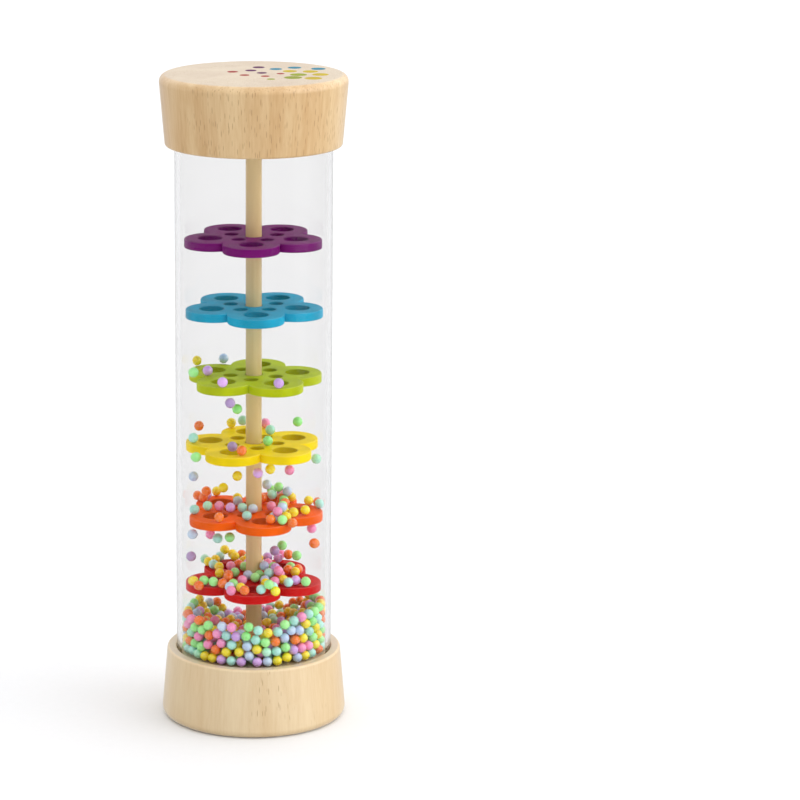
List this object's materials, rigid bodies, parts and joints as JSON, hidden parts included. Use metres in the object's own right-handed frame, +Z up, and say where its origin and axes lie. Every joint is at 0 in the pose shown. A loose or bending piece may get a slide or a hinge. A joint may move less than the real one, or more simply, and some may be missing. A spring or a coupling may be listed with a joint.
{
  "type": "rainstick",
  "caption": "Bead rainmaker: turned wooden caps on a clear tube, with flower-shaped discs on a dowel and small coloured beads that fall through their holes.",
  "frame": {"origin": "middle of the underside of the lower cap, on the surface that the rainstick stands on", "axes": "+Z up along the tube's axis, -Y to the front, +X to the right seen from the front"},
  "size_m": [0.0572, 0.0572, 0.2],
  "materials": {
    "cap_wood": "satin lacquer",
    "dowel_wood": "sanded",
    "clear_plastic": "clear, smooth",
    "purple_paint": "satin paint on wood",
    "blue_paint": "satin paint on wood",
    "green_paint": "satin paint on wood",
    "yellow_paint": "satin paint on wood",
    "orange_paint": "satin paint on wood",
    "red_paint": "satin paint on wood",
    "bead_yellow": "pearly",
    "bead_lime": "pearly",
    "bead_sky": "pearly",
    "bead_violet": "pearly",
    "bead_mauve": "pearly",
    "bead_orange": "pearly",
    "bead_sage": "pearly",
    "bead_pink": "pearly",
    "bead_aqua": "pearly",
    "bead_mint": "pearly"
  },
  "bodies": {
    "rainstick": {"bottom_cap": "cap_wood", "top_cap": "cap_wood", "clear_tube": "clear_plastic", "centre_dowel": "dowel_wood", "disc_purple": "purple_paint", "disc_blue": "blue_paint", "disc_green": "green_paint", "disc_yellow": "yellow_paint", "disc_orange": "orange_paint", "disc_red": "red_paint", "bead_heap": "bead_mint"},
    "bead_01": {"bead_01": "bead_yellow"},
    "bead_02": {"bead_02": "bead_lime"},
    "bead_03": {"bead_03": "bead_sky"},
    "bead_04": {"bead_04": "bead_violet"},
    "bead_05": {"bead_05": "bead_violet"},
    "bead_06": {"bead_06": "bead_violet"},
    "bead_07": {"bead_07": "bead_mauve"},
    "bead_08": {"bead_08": "bead_lime"},
    "bead_09": {"bead_09": "bead_orange"},
    "bead_10": {"bead_10": "bead_yellow"},
    "bead_11": {"bead_11": "bead_sage"},
    "bead_12": {"bead_12": "bead_pink"},
    "bead_13": {"bead_13": "bead_aqua"},
    "bead_14": {"bead_14": "bead_lime"},
    "bead_15": {"bead_15": "bead_aqua"},
    "bead_16": {"bead_16": "bead_lime"},
    "bead_17": {"bead_17": "bead_mauve"},
    "bead_18": {"bead_18": "bead_orange"},
    "bead_19": {"bead_19": "bead_lime"},
    "bead_20": {"bead_20": "bead_mint"},
    "bead_21": {"bead_21": "bead_sky"},
    "bead_22": {"bead_22": "bead_yellow"},
    "bead_23": {"bead_23": "bead_yellow"},
    "bead_24": {"bead_24": "bead_violet"},
    "bead_25": {"bead_25": "bead_pink"},
    "bead_26": {"bead_26": "bead_orange"},
    "bead_27": {"bead_27": "bead_yellow"},
    "bead_28": {"bead_28": "bead_sky"},
    "bead_29": {"bead_29": "bead_sky"},
    "bead_30": {"bead_30": "bead_mauve"},
    "bead_31": {"bead_31": "bead_aqua"},
    "bead_32": {"bead_32": "bead_lime"},
    "bead_33": {"bead_33": "bead_orange"},
    "bead_34": {"bead_34": "bead_lime"},
    "bead_35": {"bead_35": "bead_mauve"},
    "bead_36": {"bead_36": "bead_orange"},
    "bead_37": {"bead_37": "bead_lime"},
    "bead_38": {"bead_38": "bead_pink"},
    "bead_39": {"bead_39": "bead_pink"}
  },
  "joints": [
    {"name": "bead_01_fall", "type": "slide", "parent": "rainstick", "child": "bead_01", "axis": [0, 0, 1], "range_m": [0, 0.0159]},
    {"name": "bead_02_fall", "type": "slide", "parent": "rainstick", "child": "bead_02", "axis": [0, 0, 1], "range_m": [-0.0217, 0.0153]},
    {"name": "bead_03_fall", "type": "slide", "parent": "rainstick", "child": "bead_03", "axis": [0, 0, 1], "range_m": [0, 0.0154]},
    {"name": "bead_04_fall", "type": "slide", "parent": "rainstick", "child": "bead_04", "axis": [0, 0, 1], "range_m": [0, 0.0157]},
    {"name": "bead_05_fall", "type": "slide", "parent": "rainstick", "child": "bead_05", "axis": [0, 0, 1], "range_m": [0, 0.0379]},
    {"name": "bead_06_fall", "type": "slide", "parent": "rainstick", "child": "bead_06", "axis": [0, 0, 1], "range_m": [0, 0.0156]},
    {"name": "bead_07_fall", "type": "slide", "parent": "rainstick", "child": "bead_07", "axis": [0, 0, 1], "range_m": [-0.015, 0.0003]},
    {"name": "bead_08_fall", "type": "slide", "parent": "rainstick", "child": "bead_08", "axis": [0, 0, 1], "range_m": [-0.0107, 0.0046]},
    {"name": "bead_09_fall", "type": "slide", "parent": "rainstick", "child": "bead_09", "axis": [0, 0, 1], "range_m": [-0.0024, 0.0128]},
    {"name": "bead_10_fall", "type": "slide", "parent": "rainstick", "child": "bead_10", "axis": [0, 0, 1], "range_m": [0, 0.0158]},
    {"name": "bead_11_fall", "type": "slide", "parent": "rainstick", "child": "bead_11", "axis": [0, 0, 1], "range_m": [-0.0021, 0.0139]},
    {"name": "bead_12_fall", "type": "slide", "parent": "rainstick", "child": "bead_12", "axis": [0, 0, 1], "range_m": [0, 0.0153]},
    {"name": "bead_13_fall", "type": "slide", "parent": "rainstick", "child": "bead_13", "axis": [0, 0, 1], "range_m": [0, 0.0153]},
    {"name": "bead_14_fall", "type": "slide", "parent": "rainstick", "child": "bead_14", "axis": [0, 0, 1], "range_m": [-0.025, 0.0126]},
    {"name": "bead_15_fall", "type": "slide", "parent": "rainstick", "child": "bead_15", "axis": [0, 0, 1], "range_m": [0, 0.0157]},
    {"name": "bead_16_fall", "type": "slide", "parent": "rainstick", "child": "bead_16", "axis": [0, 0, 1], "range_m": [0, 0.0153]},
    {"name": "bead_17_fall", "type": "slide", "parent": "rainstick", "child": "bead_17", "axis": [0, 0, 1], "range_m": [-0.0215, 0.0153]},
    {"name": "bead_18_fall", "type": "slide", "parent": "rainstick", "child": "bead_18", "axis": [0, 0, 1], "range_m": [0, 0.0154]},
    {"name": "bead_19_fall", "type": "slide", "parent": "rainstick", "child": "bead_19", "axis": [0, 0, 1], "range_m": [-0.0178, 0.019]},
    {"name": "bead_20_fall", "type": "slide", "parent": "rainstick", "child": "bead_20", "axis": [0, 0, 1], "range_m": [-0.015, 0.0218]},
    {"name": "bead_21_fall", "type": "slide", "parent": "rainstick", "child": "bead_21", "axis": [0, 0, 1], "range_m": [-0.0089, 0.0064]},
    {"name": "bead_22_fall", "type": "slide", "parent": "rainstick", "child": "bead_22", "axis": [0, 0, 1], "range_m": [-0.0111, 0.0041]},
    {"name": "bead_23_fall", "type": "slide", "parent": "rainstick", "child": "bead_23", "axis": [0, 0, 1], "range_m": [-0.0133, 0.002]},
    {"name": "bead_24_fall", "type": "slide", "parent": "rainstick", "child": "bead_24", "axis": [0, 0, 1], "range_m": [-0.0131, 0.0021]},
    {"name": "bead_25_fall", "type": "slide", "parent": "rainstick", "child": "bead_25", "axis": [0, 0, 1], "range_m": [-0.0119, 0.0034]},
    {"name": "bead_26_fall", "type": "slide", "parent": "rainstick", "child": "bead_26", "axis": [0, 0, 1], "range_m": [-0.0031, 0.0136]},
    {"name": "bead_27_fall", "type": "slide", "parent": "rainstick", "child": "bead_27", "axis": [0, 0, 1], "range_m": [-0.0047, 0.0105]},
    {"name": "bead_28_fall", "type": "slide", "parent": "rainstick", "child": "bead_28", "axis": [0, 0, 1], "range_m": [-0.0052, 0.0101]},
    {"name": "bead_29_fall", "type": "slide", "parent": "rainstick", "child": "bead_29", "axis": [0, 0, 1], "range_m": [-0.0136, 0.0017]},
    {"name": "bead_30_fall", "type": "slide", "parent": "rainstick", "child": "bead_30", "axis": [0, 0, 1], "range_m": [-0.0053, 0.0103]},
    {"name": "bead_31_fall", "type": "slide", "parent": "rainstick", "child": "bead_31", "axis": [0, 0, 1], "range_m": [-0.0128, 0.0239]},
    {"name": "bead_32_fall", "type": "slide", "parent": "rainstick", "child": "bead_32", "axis": [0, 0, 1], "range_m": [-0.0137, 0.0015]},
    {"name": "bead_33_fall", "type": "slide", "parent": "rainstick", "child": "bead_33", "axis": [0, 0, 1], "range_m": [-0.0113, 0.0041]},
    {"name": "bead_34_fall", "type": "slide", "parent": "rainstick", "child": "bead_34", "axis": [0, 0, 1], "range_m": [-0.006, 0.0093]},
    {"name": "bead_35_fall", "type": "slide", "parent": "rainstick", "child": "bead_35", "axis": [0, 0, 1], "range_m": [-0.0061, 0.0092]},
    {"name": "bead_36_fall", "type": "slide", "parent": "rainstick", "child": "bead_36", "axis": [0, 0, 1], "range_m": [-0.0012, 0.014]},
    {"name": "bead_37_fall", "type": "slide", "parent": "rainstick", "child": "bead_37", "axis": [0, 0, 1], "range_m": [-0.0026, 0.0129]},
    {"name": "bead_38_fall", "type": "slide", "parent": "rainstick", "child": "bead_38", "axis": [0, 0, 1], "range_m": [-0.0113, 0.004]},
    {"name": "bead_39_fall", "type": "slide", "parent": "rainstick", "child": "bead_39", "axis": [0, 0, 1], "range_m": [-0.0137, 0.0015]}
  ]
}
